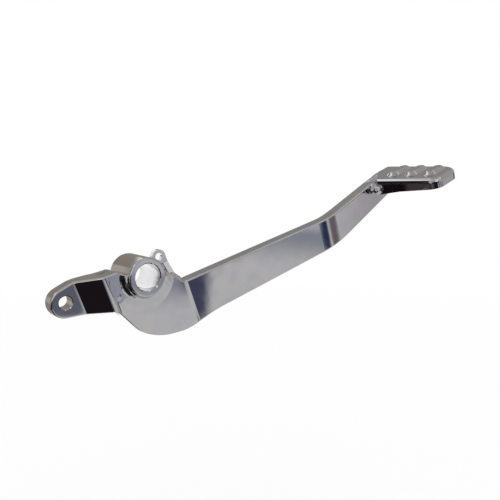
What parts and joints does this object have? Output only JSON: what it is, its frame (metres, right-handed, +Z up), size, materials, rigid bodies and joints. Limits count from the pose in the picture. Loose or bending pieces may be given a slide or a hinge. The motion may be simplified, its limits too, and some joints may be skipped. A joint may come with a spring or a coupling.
{
  "type": "motorcycle rear brake pedal",
  "caption": "Chrome-plated rear brake pedal with a bent flat arm, a pivot tube, a rear rod ear, a spring eyelet and a ribbed foot pad.",
  "frame": {"origin": "centre of the pivot bore, at the middle of the tube's length", "axes": "the bore runs along Y with the outer side of the pedal facing -Y, +X from the bore towards the foot pad, +Z up as the pedal hangs in the picture"},
  "size_m": [0.2533, 0.0916, 0.1001],
  "materials": {
    "chrome": "polished chrome plate on welded steel"
  },
  "bodies": {
    "root": {"pedal_arm": "chrome", "pivot_tube": "chrome", "boss_weld_front": "chrome", "boss_weld_rear": "chrome", "spring_tab": "chrome", "spring_tab_weld": "chrome", "tread_pad": "chrome", "pad_weld_front": "chrome", "pad_weld_top": "chrome"}
  },
  "joints": []
}
